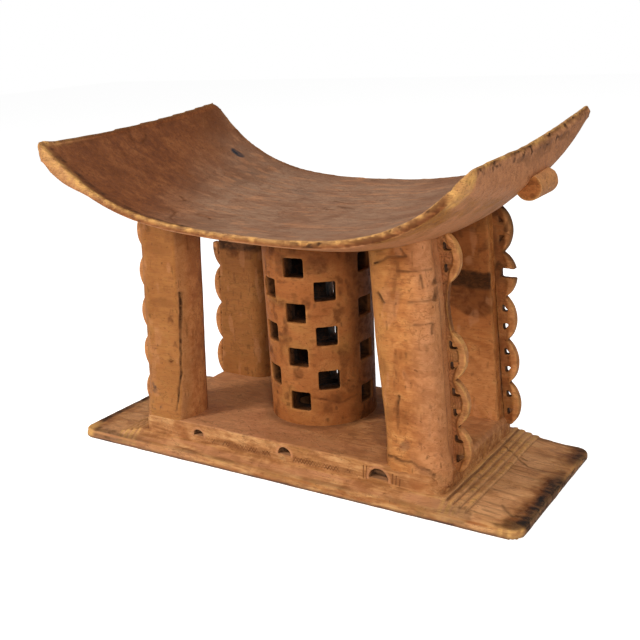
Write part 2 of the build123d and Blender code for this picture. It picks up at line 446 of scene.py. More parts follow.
# seed added, width along and across the grain in millimetres, detail, and the noise that gives 0 and 1
BROAD = (0, 60, 34, 4, 0.36, 0.66)
STREAKS = (3, 42, 4.5, 6, 0.36, 0.66)
HAIRS = (7, 18, 0.9, 3, 0.5, 0.66)
MOTTLE = (11, 11, 8, 6, 0.38, 0.66)
SPECKS = (15, 5, 2.2, 3, 0.63, 0.70)
VEINS = (19, 38, 16, 5, 0.0, 1.0)
VEIN_SHARPNESS = 45
BROAD_TONE, FINE_TONE = 0.42, 0.58  # shares of the tone; the streaks and the mottle divide the second
PAINT_BREAKUP = (0.5, 0.72)
PAINT_STREAKS, STREAK_SHADE = 0.3, 0.6
MARK_SHADE = 0.45
MARKS = ((0.24, -0.35), (0.6, -0.7), (0.55, -0.8))  # how dark and how high hairs, specks and veins are
STREAK_HEIGHT = 0.5
ROUGHNESS, GLOSS_CHANGE = 0.6, 0.2
BUMP_STRENGTH, BUMP_HEIGHT = 0.6, 0.35


def carved_wood(name, dark, body, light, seed, grain=0.3, specular=0.18, spread=0.3):
    """Aged wood: tones that follow the grain from dark to light, and the painted masks over them."""
    material = bpy.data.materials.new(name)
    tree = empty_tree(material)
    maths = partial(arithmetic, tree)
    place = make_node(tree, "ShaderNodeTexCoord").outputs["Object"]
    patterns = (BROAD, STREAKS, HAIRS, MOTTLE, SPECKS, VEINS)
    made = [pattern(tree, place, seed + own_seed, *sizes) for own_seed, *sizes in patterns]
    broad, streaks, hairs, mottle, specks, veins = made
    veins = maths("ABSOLUTE", maths("SUBTRACT", veins, 0.5))
    veins = maths("MULTIPLY_ADD", veins, -VEIN_SHARPNESS, 1.0, clamp=True)
    veins = maths("MULTIPLY", veins, broad)

    tone = maths("MULTIPLY", broad, BROAD_TONE)
    tone = maths("MULTIPLY_ADD", streaks, grain, tone)
    tone = maths("MULTIPLY_ADD", mottle, FINE_TONE - grain, tone)
    tones = make_node(tree, "ShaderNodeValToRGB", {0: tone})
    stops = tones.color_ramp.elements
    stops[0].position, stops[0].color = 0.5 - spread, (*dark, 1)
    stops[1].position, stops[1].color = 0.5 + spread, (*light, 1)
    stops.new(0.5).color = (*body, 1)
    colour = tones.outputs[0]

    breakup = maths("MULTIPLY_ADD", mottle, *PAINT_BREAKUP)
    streaked = maths("MULTIPLY", streaks, PAINT_STREAKS)
    for paint, tint in PAINT_COLOURS.items():
        mask = make_node(tree, "ShaderNodeAttribute", attribute_name=paint).outputs["Fac"]
        mask = maths("MULTIPLY", mask, breakup, clamp=True)
        toned = mix_colour(tree, streaked, tint, [c * STREAK_SHADE for c in tint])
        colour = mix_colour(tree, mask, colour, toned)
    shade = [c * MARK_SHADE for c in dark]
    height = maths("MULTIPLY_ADD", streaks, STREAK_HEIGHT, mottle)
    for mark, (darkness, lift) in zip((hairs, specks, veins), MARKS):
        colour = mix_colour(tree, maths("MULTIPLY", mark, darkness), colour, shade)
        height = maths("MULTIPLY_ADD", mark, lift, height)
    relief = {"Strength": BUMP_STRENGTH, "Distance": BUMP_HEIGHT * MM, "Height": height}
    gloss = maths("MULTIPLY_ADD", mottle, GLOSS_CHANGE, ROUGHNESS - GLOSS_CHANGE / 2)
    shader = make_node(tree, "ShaderNodeBsdfPrincipled", {
        "Base Color": colour,
        "Roughness": gloss,
        "Specular IOR Level": specular,
        "Normal": make_node(tree, "ShaderNodeBump", relief).outputs[0],
    })
    make_node(tree, "ShaderNodeOutputMaterial", {0: shader.outputs[0]})
    return material


WOOD_SEAT = carved_wood(
    "seat_wood", (0.15, 0.042, 0.011), (0.24, 0.074, 0.021), (0.34, 0.12, 0.038),
    seed=2, specular=0.14, spread=0.4,
)
WOOD_POST = carved_wood(
    "post_wood", (0.27, 0.083, 0.019), (0.43, 0.155, 0.043), (0.57, 0.245, 0.075),
    grain=0.2, seed=5, specular=0.12, spread=0.42,
)
WOOD_BASE = carved_wood(
    "base_wood", (0.29, 0.110, 0.034), (0.47, 0.205, 0.072), (0.62, 0.325, 0.13), grain=0.34, seed=9
)
WOOD_FIN = carved_wood(
    "fin_wood", (0.22, 0.065, 0.015), (0.41, 0.145, 0.038), (0.55, 0.24, 0.075),
    grain=0.2, seed=13, specular=0.12,
)


# ---------------- seat
SEAT_CORNER_RADIUS = 10
SEAT_END_SLOPE = 0.92
SEAT_END = SEAT_HIGH[0]
SEAT_BLUE_SPOT = (((-188, 113), (9, 6)),)
SEAT_CRACKS = (
    ((-120, -104), (-106, -110), (-96, -131), (-72, -148)),
    ((0, 39), (17, 33), (31, 30)),
    ((17, 17), (36, 11)),
    ((-246, -19), (-236, -25), (-231, -18), (-234, -4), (-241, 4)),
    ((-88, -96), (-70, -99), (-62, -108)),
    ((-140, -60), (-128, -66), (-131, -74)),
    ((-12, 147), (-6, 148)),
)
SEAT_SMUDGES = [(place, (12, 5)) for place in ((-72, 69), (-52, 57), (-52, 74), (60, 96), (-150, 84))]
NEAR_EDGE_STAIN = ((-243, -146), (-204, -145), (-166, -145), (-120, -148), (-60, -151))
WORN_CORNER = (243, -152)
LEFT_TIP = (-250, -156)
LEFT_TIP_DROP, LEFT_TIP_OUT = 7.5, 4
FAR_END_SWELL = 2.4
NEAR_END_LIFT = 2
SQUARE_CORNERS = ((-1, -1, 1.0), (1, 1, 0.8))  # which side in x and y, and how square


def square_corner(seat, side_x, side_y, share):
    """Fills out one of the seat's rounded corners, which is sharper on the stool."""
    sides = np.array((side_x, side_y))
    centre = np.array((SEAT_HIGH[0], SEAT_HIGH[1])) - SEAT_CORNER_RADIUS
    out = np.maximum(seat.points[:, :2] * sides - centre, 0)
    furthest = out.max(axis=1)
    grow = share * (np.linalg.norm(out, axis=1) / np.maximum(furthest, 1e-6) - 1) * (furthest > 0)
    seat.points[:, :2] += sides * out * grow[:, None]
    seat.points[:, 2] += SEAT_END_SLOPE * out[:, 0] * grow
    seat.write()


def make_seat():
    seat = Carving("seat", 1.85, smoothing=6)
    points = seat.points
    plan = points[:, :2]
    x, y, _ = points.T
    seat.snap(1.0, (np.abs(x) > SEAT_END - 16) | (np.abs(y) > SEAT_HIGH[1] - 9))
    for corner in SQUARE_CORNERS:
        square_corner(seat, *corner)
    below = seat.depth()
    outer = ramp(SEAT_END - 18, SEAT_END - 6, np.abs(x))
    seat.soften(45, outer * ramp(5, 11, below))
    inset = np.minimum(SEAT_END - np.abs(x), SEAT_HIGH[1] - np.abs(y))
    at_edge = ramp(6, 3, inset) * ramp(10, 6, below)
    seat.soften(9, at_edge)
    seat.push(at_edge)
    seat.shift(NEAR_END_LIFT * near_spot(plan, (250, -120), (30, 60), 1.2) * ramp(14, 4, below), UPWARD)
    tip = near_spot(plan, LEFT_TIP, (45, 20), 1.0)
    seat.shift(LEFT_TIP_DROP * tip * ramp(2, 9, below), (-0.4, 0, -1))
    far_end = ramp(SEAT_END - 25, SEAT_END - 8, x) * ramp(-90, 20, y)
    seat.shift(FAR_END_SWELL * far_end * ramp(1, 6, below), (0.9, 0, -0.45))
    seat.shift(LEFT_TIP_OUT * near_spot(plan, LEFT_TIP, (15, 15), 1.2), (-1, 0, 0.5))
    weather(seat, 1, wave=0.45, wear=0.3, gold=0, dirt=0.3, blotch=0)
    flat = seat.normals()[:, 2]
    top = ramp(0.45, 0.65, flat)
    rim = ramp(0.62, 0.4, np.abs(flat))
    under = ramp(-0.3, -0.6, flat)
    chips = seat.cloud(0.1, 0.5, 9, 50)
    fine = seat.cloud(-0.1, 0.5, 3.5, 51, 2)
    end_face = outer * ramp(1, 4, below)
    lip = rim * ramp(6, 2, below) * chips * (1 - 0.8 * outer)
    seat.push(-0.8 * lip)

    right = ramp(20, 110, x)
    left_tip = near_spot(plan, LEFT_TIP, (70, 60), 1.0)
    reach = 3.5 + 5 * left_tip
    band = ramp(reach, 0.4 * reach, below - 0.8 * fine) * ramp(-0.5, -0.2, flat)
    band *= ramp(3 + 6 * left_tip, 1, inset)
    speckle = seat.fleck((5, 4, 4), 58, 0.0)
    patch = near_spot(wander(points, 4, 16, 53)[:, :2], WORN_CORNER, (17, 11), 0.4) * ramp(17, 12, below)
    ragged = right * rim * ramp(14, 7, below) * (1 - patch) * seat.fleck((12, 8, 5), 57, -0.15)
    clean = 1 - np.maximum(0.5 * speckle, 0.8 * ragged)
    clean *= 1 - 0.7 * ramp(-SEAT_END + 14, -SEAT_END + 6, x) * ramp(-150, -125, y)
    band = 1.15 * seat.spread(band, 3)
    seat.paint(band * (1 - 0.35 * chips * (1 - left_tip)) * (0.75 + 0.25 * fine) * clean, gold=1)
    seat.paint(speckle * band, brown=0.6)
    seat.paint(rim * left_tip * ramp(10, 6, below), pale=0.75)
    seat.paint((1 - left_tip) * (0.8 * lip + 0.6 * rim * ramp(2.5, 5, below) * fine), brown=1)
    seat.paint(end_face, pale=0.95, red=0.8)
    seat.speckle(end_face * ramp(26, 8, below), (9, 14, 7), 52, 0.1, dirt=0.4)
    seat.paint(ragged, brown=0.9)
    seat.speckle(ragged, (7, 5, 4), 56, 0.15, dirt=0.85)
    seat.push(-1.2 * patch * seat.fleck(6, 54, 0.0))
    seat.paint(patch * (0.75 + 0.25 * seat.noise(6, 54, 2)), gold=1)
    seat.speckle(patch, (7, 4, 4), 55, 0.3, brown=0.6)
    seat.paints["dirt"] *= 1 - patch

    slant = x + 0.42 * (y + 95) + 14 * seat.noise(40, 61)
    left = ramp(-70, -165, slant)
    # the seat's top, away from its left end, is painted greyer: a painted sheen
    seat.paint(top * (1 - 0.97 * left) * (0.65 + 0.35 * seat.cloud(-0.5, 0.4, (40, 22, 22), 62, 4)), grey=1)
    # the seat's top is painted darker at its left end, more so further back: painted shade
    seat.paint(top * left * (0.17 + 0.6 * ramp(40, 150, y)), brown=1)
    seat.paint(top * ramp(12, 2, inset + 4 * seat.noise(14, 63)) * ramp(0, -80, x), brown=0.85)
    spots = 0.35 + 0.65 * seat.fleck(6, 71, 0.0)
    seat.paint(top * spots * near_path(wander(points, 3, 10, 66)[:, :2], NEAR_EDGE_STAIN, 5), dirt=0.75)
    seat.paint(top * seat.cloud(0.1, 0.6, (20, 16, 16), 64, 4) * (0.55 + 0.45 * left), brown=0.4)
    seat.speckle(top, (18, 3, 6), 67, 0.35, brown=0.35)
    seat.paint(top * np.maximum(ramp(100, 150, y), seat.cloud(0.0, 0.5, 48, 59)), brown=0.3)
    seat.speckle(top * (1 - left), (30, 7, 7), 68, 0.2, pale=0.4)
    seat.paint(under, olive=0.85)
    seat.paint(under * ramp(-0.6, 0.2, -seat.noise((40, 22, 22), 65)), pale=1)
    seat.speckle(under, (26, 12, 10), 70, 0.3, brown=0.5)
    seat.spots(top, wander(points, 3, 9, 69)[:, :2], SEAT_SMUDGES, 1.2, ink=0.22)
    seat.spots(top, wander(points, 1.2, 9, 66)[:, :2], SEAT_BLUE_SPOT, 0.3, ink=0.92)
    for path in SEAT_CRACKS:
        crack(seat, plan, path, UPWARD, depth=0.35, width=2.2, paint="brown", strength=0.9)
    seat.finish(WOOD_SEAT)


# ---------------- foot
STEP_AREA = (190, 240)
STEP_COUNT, STEP_PITCH, STEP_INSET = 4, 7.8, 5
STEP_EDGES = [PLINTH_HIGH[0] + STEP_INSET + STEP_PITCH * step for step in range(STEP_COUNT)]
STEP_CREST = 2.6  # how far inside a terrace's edge its crest runs
CREST_HEIGHT = 0.5
LOW_EDGE_SWELL = 1.8
STREAK_PATHS = (((-112, 13.5), (-106, 17)), ((-115, 10.5), (-113, 12)))  # along the front, in y and z
SCRIBBLE = (-204, -92)
SCRIBBLE_LINES = (((0.8, 0.6), 0.95), ((-0.5, 0.9), 0.9))
BOARD_CRACKS = (
    ((202, 38), (224, 23), (239, 12), (258, 12), (275, 18)),
    ((224, 29), (232, 25)),
    ((246, -78), (262, -92), (274, -84)),
    ((-262, 30), (-240, 10), (-214, 4)),
)


def make_board():
    board = Carving("base_board", 1.7)
    x, _, z = board.points.T
    away = np.abs(x)
    board.refine((away > STEP_AREA[0]) & (away < STEP_AREA[1]) & (z > 8))
    points = board.points
    plan = points[:, :2]
    x, y, z = points.T
    away = np.abs(x)
    board.snap(1.0, (away > STEP_AREA[0] + 3) & (away < STEP_AREA[1] - 3) & (z > 9))
    away = np.abs(x)
    stepped = ramp(STEP_AREA[0] - 4, STEP_AREA[0] + 6, away) * ramp(STEP_AREA[1], STEP_AREA[1] - 10, away)
    board.shift(2.2 * stepped * board.noise(50, 87, 2), RIGHTWARD)
    weather(board, 2, wave=0.3, wear=0.4, gold=0.6, blotch=0.35)
    board.shift(LOW_EDGE_SWELL * ramp(7, 3, z) * ramp(0.2, 0.6, -board.normals()[:, 1]), FORWARD)
    board.shift(0.25 * z * near_spot(plan, (280, 92), (60, 26), 1.0), (0, 0, -1))
    uneven = 8 * board.noise(22, 70) + 4 * board.noise(6, 71)
    right_edge = BOARD_HIGH[0] - x
    left_edge = x - BOARD_LOW[0]
    right = right_edge + uneven
    left = left_edge + uneven
    front = y - BOARD_LOW[1] + uneven
    back = BOARD_HIGH[1] - y + uneven
    up = board.facing(UPWARD, 0.3)
    side = ramp(0.3, 0.7, 1 - np.abs(board.normals()[:, 2]))
    near_half = ramp(30, -10, y)
    far_right = ramp(30, 60, y) * ramp(235, 262, x)
    band = ramp(13, 6, right_edge + 0.8 * uneven)
    near_left = near_spot(plan, (-278, -112), (16, 20), 0.6)
    near_right = near_spot(plan, (269, -112), (14, 11)) * ramp(12, 8, z)
    right_end = side * ramp(264, 275, x) * (1 - near_right)
    board.paint(up * band * np.maximum(near_half, 0.7 * far_right) * (1 - near_right), black=0.85)
    board.paint(up * ramp(24, 12, right) * (0.2 + 0.8 * np.maximum(near_half, far_right)), brown=0.9)
    edges = np.maximum(up * ramp(17, 9, front), 0.6 * side) * ramp(150, 215, x) * (1 - near_right)
    board.speckle(edges, (30, 12, 6), 88, -0.3, dirt=0.5)
    board.paint(up * ramp(9, 4, back) * ramp(200, 240, np.abs(x)), dirt=0.6)
    board.paint(up * ramp(15, 8, left_edge + 0.5 * uneven) * (1 - near_left), dirt=0.85)
    board.speckle(right_end, (9, 12, 5), 85, -0.3, dirt=0.85)
    board.paint(up * ramp(13, 7, front) * ramp(-165, -225, x) * (1 - near_left), dirt=0.7)
    ends = ramp(185, 215, np.abs(x))
    board.paint(up * board.fleck((26, 5, 10), 72, 0.4) * ends, brown=0.45)
    middle = ends * ramp(14, 34, right) * ramp(14, 34, left)
    board.paint(up * middle * (0.5 + 0.5 * board.fleck((50, 16, 16), 84, -0.2)), tan=0.7)
    board.speckle(up * middle, (40, 4, 9), 86, 0.25, dirt=0.35)
    board.paint(side * ramp(-60, -150, x), pale=0.6)
    board.paint(side * (1 - right_end) * ramp(2.5, 5, z) * board.cloud(-0.4, 0.3, 14, 73), gold=0.32)
    board.speckle(side, (34, 20, 4), 74, 0.1, red=0.9)
    board.speckle(side, (22, 12, 3), 78, 0.3, brown=0.6)
    board.paint(near_right * (0.35 + 0.6 * board.fleck((8, 8, 5), 89, -0.1)), gold=1)
    board.paint(near_left, gold=1)
    upper, lower = STREAK_PATHS
    broken = board.cloud(0.2, -0.3, (60, 20, 20), 75)
    board.paint(near_path(points[:, 1:], upper, 3) * broken, pale=0.7)
    board.paint(near_path(wander(points, 1, 8, 79)[:, 1:], lower, 2.2) * (1 - broken), brown=0.7)
    tread = up * ramp(STEP_AREA[0], 198, np.abs(x)) * ramp(228, 222, np.abs(x))
    bend = board.curvature(2)
    board.push(0.5 * tread * np.clip(2 * board.spread(bend, 3), -1, 1))
    board.paint(tread * (0.4 + 2.0 * np.clip(board.spread(bend, 2), 0, 0.3)), tan=1)
    crests = [ramp(3.2, 1.4, np.abs(away - edge + STEP_CREST)) for edge in STEP_EDGES]
    ridges = np.max(crests, axis=0) * tread
    board.push(CREST_HEIGHT * ridges)
    board.paint(ridges * (0.35 + 0.65 * board.fleck((8, 22, 8), 76, -0.1)), gold=0.7)
    # darker in the hollows between the steps' crests: painted shade of the risers
    board.paint(tread * np.clip(-3 * board.spread(bend, 1), 0, 1), brown=0.65)
    board.speckle(tread, (5, 26, 6), 77, 0.35, brown=0.5)
    weave = sum(ramp(0.7, 0.95, np.sin(plan @ way * pitch)) for way, pitch in SCRIBBLE_LINES)
    weave *= near_spot(plan, SCRIBBLE, (22, 14)) * board.cloud(-0.3, 0.2, 6, 80)
    board.carve(0.8 * up * np.clip(weave, 0, 1), 0.3, "brown")
    for path in BOARD_CRACKS:
        crack(board, plan, path, UPWARD, depth=0.5, width=1.8, strength=0.75)
    # painted contact shadow: a thin, nearly black line along the bottom of the board's sides
    board.paint(ramp(3.2, 1.8, z) * side, ink=0.9)
    board.finish(WOOD_BASE)


PLINTH_ZIGZAGS = ((-97, -12), (19, 100))
ZIGZAG_HEIGHTS = (21.5, 26.5)
ZIGZAG_PITCH = 3.6
TALLY_MARKS = ((105.5, 21, 35), (109, 21, 35), (139, 22, 32), (143, 22, 31), (147, 21, 28))
NOTCHES = ((-109.5, 7, 7.1), (8, 8, 7.6), (123, 11, 4.1))  # centre, radius, sill above the board
NOTCH_DEPTH = 11
CORNER_ROUND = 17


def round_corners(plinth):
    """Draws the plinth's upright corners in, and lowers its top there."""
    centre = np.array((PLINTH_HIGH[0] - CORNER_ROUND, (PLINTH_HIGH[1] - PLINTH_LOW[1]) / 2 - CORNER_ROUND))
    x, y, z = plinth.points.T
    place = np.stack([x, y - (PLINTH_HIGH[1] + PLINTH_LOW[1]) / 2], axis=1)
    out = np.maximum(np.abs(place) - centre, 0)
    reach = np.linalg.norm(out, axis=1)
    widest = out.max(axis=1)
    shrink = np.where(widest > 0, widest / np.maximum(reach, 1e-6) - 1, 0)
    plinth.points[:, :2] += np.sign(place) * out * shrink[:, None]
    z -= 0.45 * np.clip(out.min(axis=1), 0, 9) * ramp(26, 40, z)
    plinth.write()


def zigzag(face):
    """1 on the crossed zigzag lines of the plinth's front."""
    groove = np.zeros(len(face))
    low, high = ZIGZAG_HEIGHTS
    for start, end in PLINTH_ZIGZAGS:
        turns = [start + ZIGZAG_PITCH * i for i in range(round((end - start) / ZIGZAG_PITCH) + 1)]
        once = [(turn, high if i % 2 else low) for i, turn in enumerate(turns)]
        again = [(turn, low if i % 2 else high) for i, turn in enumerate(turns)]
        groove = np.maximum(groove, near_path(face, once, 1.0))
        groove = np.maximum(groove, near_path(face, again, 0.9) * 0.8)
    return groove


def make_plinth():
    plinth = Carving("plinth", 1.2, ("base_board",))
    x, y, _ = plinth.points.T
    plinth.refine((y < PLINTH_LOW[1] + 4) & (np.abs(x - 10) < 150))
    points = plinth.points
    x, y, z = points.T
    plinth.snap(0.85, (y < PLINTH_LOW[1] + NOTCH_DEPTH) & (z < PLINTH_TOP - 2))
    round_corners(plinth)
    weather(plinth, 3, wave=0.3, wear=0.4, gold=0.12, blotch=0.5)
    face = points[:, ::2]
    outward = plinth.facing(FORWARD, 0.6)
    groove = zigzag(face)
    groove *= 0.3 + 0.7 * plinth.cloud(-0.4, 0.2, 8, 80)
    for place, bottom, top in TALLY_MARKS:
        groove = np.maximum(groove, near_path(face, ((place, bottom), (place + 0.6, top)), 1.0))
    plinth.carve(outward * groove, 0.55, "brown", 0.9)
    stained = near_path(face, ((-100, 24), (100, 24)), 6) * plinth.cloud(-0.2, 0.3, (20, 9, 9), 82)
    plinth.paint(outward * stained, brown=0.4)
    for place, radius, sill in NOTCHES:
        above = face[:, 1] - BOARD_TOP - sill
        reach = np.linalg.norm(face - np.array((place, BOARD_TOP + sill)), axis=1)
        ring = ramp(2.2, 0.8, np.abs(reach - radius - 1.6)) * outward * (above > -2)
        plinth.paint(ring, pale=0.7)
        inside = (reach < radius + 1) & (y > PLINTH_LOW[1] + 1.2) & (y < PLINTH_LOW[1] + NOTCH_DEPTH)
        plinth.paint(inside, grey=0.7)
        plinth.paint(inside * ramp(0.1 * radius, 0.6 * radius, above), dirt=0.95)
    up = plinth.facing(UPWARD, 0.6)
    plinth.paint(up * plinth.cloud(-0.1, 0.5, 40, 81), red=0.4)
    leftward = ramp(60, -80, x)
    front_middle = near_spot(points[:, :2], (0, -86), (105, 18), 1.0)
    # the plinth's top is painted paler, more so to the left; the extra at the front middle is painted light
    plinth.paint(up * (0.3 + 0.5 * leftward + 0.25 * front_middle), pale=1)
    plinth.speckle(up, (16, 10, 8), 83, 0.35, brown=0.35)
    # painted shade: darker in a ring round the drum's foot, where the drum meets the plinth
    from_drum = np.linalg.norm(points[:, :2] - DRUM_CENTRE[:2], axis=1) - DRUM_RADIUS
    plinth.paint(up * ramp(13, 1, from_drum + 4 * plinth.noise(9, 88)), dirt=0.45)
    plinth.paint(up * leftward * plinth.cloud(-0.4, 0.4, 30, 89), tan=0.3)
    # painted highlight: a paler band along the top arris at each end of the plinth
    arris = ramp(4, 1, np.abs(PLINTH_HIGH[0] - 2 - np.abs(x))) * ramp(PLINTH_TOP - 6, PLINTH_TOP - 3, z)
    plinth.paint(arris, pale=0.5)
    plinth.finish(WOOD_BASE)


# ---------------- drum
DRUM_CRACKS = (
    ((-68, 74), (-55, 72), (-42, 66), (-27, 70), (-19, 71)),
    ((-41, 88), (-32, 91), (-21, 87)),
)
DRUM_STAINS = (
    ((-97, 223), (9, 11)), ((-110, 182), (6, 9)), ((-98, 178), (7, 4)), ((-111, 166), (5, 10)),
    ((-36, 169), (6, 7)), ((-33, 118), (7, 14)), ((-28, 81), (9, 8)), ((-46, 70), (12, 6)),
    ((-60, 224), (12, 8)), ((-22, 225), (7, 14)), ((-21, 181), (5, 26)), ((-120, 92), (5, 14)),
    ((60, 150), (14, 30)), ((150, 110), (18, 20)),
)


def make_drum():
    drum = Carving("drum", 1.35, ("plinth", "seat"), smoothing=1)
    drum.snap(0.85)
    weather(drum, 4, wave=0.5, wear=0.2, gold=0.15, dirt=0.5)
    flat = drum.points[:, :2] - DRUM_CENTRE[:2]
    away = np.linalg.norm(flat, axis=1)
    turn = np.degrees(np.arctan2(flat[:, 1], flat[:, 0]))
    # painted shade: the drum's inside is painted black, and the windows' side walls are painted darker
    # towards it
    drum.paint(ramp(53, 44, away), black=1)
    drum.paint(ramp(59.5, 57, away), grey=0.35)
    drum.paint(ramp(60, 58, away), brown=0.45)
    drum.paint(ramp(59.5, 55, away), dirt=1)
    per_degree = np.radians(1) * DRUM_RADIUS
    skin = np.stack([turn * per_degree, drum.points[:, 2]], axis=1)
    for path in DRUM_CRACKS:
        unrolled = [(angle * per_degree, height) for angle, height in path]
        crack(drum, skin, unrolled, None, depth=0.4, width=2.0, paint="brown", strength=0.85)
    outer = ramp(58.5, 60, away)
    sway = 9 * np.stack([drum.noise(10, 91, 4), drum.noise(10, 92, 4)], axis=1)
    stains = [((angle * per_degree, height), radii) for (angle, height), radii in DRUM_STAINS]
    drum.spots(outer, skin + sway, stains, 0.9, brown=0.7)
    # redder all over, and painted a little darker all over as shade of the seat
    drum.paint(outer, red=0.45, brown=0.16)
    drum.paint(outer * drum.cloud(0.05, 0.5, (14, 14, 20), 90, 4), brown=0.75)
    drum.speckle(outer, (9, 9, 4), 94, 0.3, brown=0.5)
    drum.speckle(outer, (7, 7, 12), 95, 0.5, dirt=0.5)
    # painted shade: the drum's side towards +x, hidden from the lamps by the front right post, is painted
    # darker
    shaded = ramp(42, 10, np.abs(turn)) * (0.75 + 0.25 * drum.cloud(-0.3, 0.4, 24, 93))
    drum.paint(outer * shaded, brown=1, dirt=0.35)
    drum.finish(WOOD_POST)


# ---------------- posts
LEFT_CRACK = (
    (-125, 191), (-126, 168), (-127, 160), (-130, 119), (-132, 105), (-132, 96), (-137, 75), (-140, 52)
)
LEFT_KNOTS = (
    ((-138, 157), (5, 4)), ((-136, 132), (4, 2.5)), ((-166, 123), (4, 2)), ((-143, 109), (5, 1.8)),
)
LEFT_SMUDGES = (((-169, 74), (7, 8)), ((-170, 53), (8, 6)))
LEFT_STAINS = (((-131, 254), (9, 9)), ((-148, 179), (22, 6)), ((-150, 240), (22, 10)))
BACK_LEFT_STAIN = (((-148, 204), (24, 14)),)
BACK_LEFT_SPOTS = (((-124, 55), (4, 3)), ((-151, 50), (4, 3)))
BACK_RIGHT_STAIN = (((157, 222), (13, 18)),)
RIGHT_CRACKS = (
    ((124, 247), (141, 255), (159, 257), (153, 264)),
    ((127, 218), (134, 210)),
    ((147, 116), (145, 96)),
    ((133, 50), (141, 52), (150, 48), (161, 50), (168, 46), (179, 45), (187, 38)),
)
RIGHT_DASHES = (
    ((185, 271), (186, 262)), ((186, 258), (187, 249)), ((184, 240), (183, 231)), ((184, 226), (184, 215)),
    ((183, 192), (182, 184)), ((192, 192), (193, 184)), ((173, 240), (175, 228)),
)
RIGHT_LINES = (((148, 242), (193, 246)), ((160, 213), (187, 216)), ((165, 191), (182, 193)))
RIGHT_STAIN = ((148, 250), (146, 184), (146, 133), (146, 80))
RIGHT_KNOT = (((152, 64), (5, 6)),)
RIGHT_FOOT_STAINS = (((174, 43), (5, 4)), ((181, 39), (5, 4)), ((190, 38), (4, 4)))
OUTER_BULGE = 4.5
LEFT_INNER_SHIFT, RIGHT_INNER_SHIFT = -4.5, 3.5
SKIRT_DROP, SKIRT_OUT = 15, 4.4  # how far a post's foot runs down over the plinth, and swells
HEM_DRAWN_IN = 0.09
ARRIS_ROUNDS = 60
POST_LEAN = 0.05


def make_post(name, seed):
    """A post whose foot runs on down over the plinth's face, as one carving would have it."""
    post = Carving(name, 1.25, ("plinth", "seat"))
    x, y, z = post.points.T
    low, high = box(name)
    out_x = -1 if "left" in name else 1
    out_y = 1 if "back" in name else -1
    face = high[1] if out_y > 0 else low[1]
    normals = post.normals()
    spread = ramp(PLINTH_TOP + 30, PLINTH_TOP - 1, z) * SKIRT_OUT
    facing_y = np.clip(out_y * normals[:, 1], 0, 1)
    facing_x = np.clip(out_x * normals[:, 0], 0, 1) * ramp(-26, -16, out_y * (y - face))
    x += out_x * spread * facing_x
    y += out_y * spread * facing_y
    hem = ramp(PLINTH_TOP + 2, PLINTH_TOP - 2.5, z) * ramp(0.2, 0.6, np.maximum(facing_x, facing_y))
    z -= SKIRT_DROP * hem
    x -= HEM_DRAWN_IN * SKIRT_DROP * hem * out_x * facing_x
    y -= HEM_DRAWN_IN * SKIRT_DROP * hem * out_y * facing_y
    post.write()
    near = ramp(26, 20, np.abs(y - face))
    middle = (low[0] + high[0]) / 2
    arris = near * ramp(8, 18, -out_x * (x - middle)) * ramp(PLINTH_TOP - 1, PLINTH_TOP + 8, z)
    post.soften(ARRIS_ROUNDS, arris * ramp(SEAT_LOW[2] + 12, SEAT_LOW[2] + 2, z))
    weather(post, seed, wave=0.6, wear=0.3, gold=0.2, blotch=0.4)
    post.speckle(1, (5, 5, 2.2), seed + 60, 0.45, brown=0.45)
    post.speckle(1, (3, 3, 7), seed + 61, 0.58, dirt=0.6)
    post.paint(post.cloud(0.1, 0.6, (16, 16, 24), seed + 62, 4), brown=0.4)
    post.speckle(1, (2.4, 2.4, 10), seed + 63, 0.4, dirt=0.35)
    post.speckle(1, (9, 9, 22), seed + 64, 0.25, pale=0.3)
    return post


def dress_front_left():
    post = make_post("post_front_left", 10)
    x, _, z = post.points.T
    post.shift(LEFT_INNER_SHIFT * ramp(-140, -126, x - POST_LEAN * z), RIGHTWARD)
    front = post.facing(FORWARD, 0.35)
    crack(post, post.points[:, ::2], LEFT_CRACK, FORWARD, depth=0.9, width=1.5, strength=0.9)
    bent = wander(post.points, 6, 7, 33)[:, ::2]
    post.spots(front, bent, LEFT_KNOTS, 1.0, brown=0.85)
    post.spots(front * post.fleck(4, 44, -0.1), bent, LEFT_SMUDGES, 1.0, ink=0.6)
    post.spots(front, bent, LEFT_STAINS, 1.2, brown=0.45)
    post.paint(front, olive=0.5)
    post.paint(0.2 * front + 0.5 * ramp(235, 275, z) * post.cloud(-0.3, 0.4, 16, 45), brown=1)
    # painted light: the post's faces turned to +x are painted paler
    post.paint(ramp(0.3, 0.8, post.normals()[:, 0]), pale=0.3)
    post.finish(WOOD_POST)


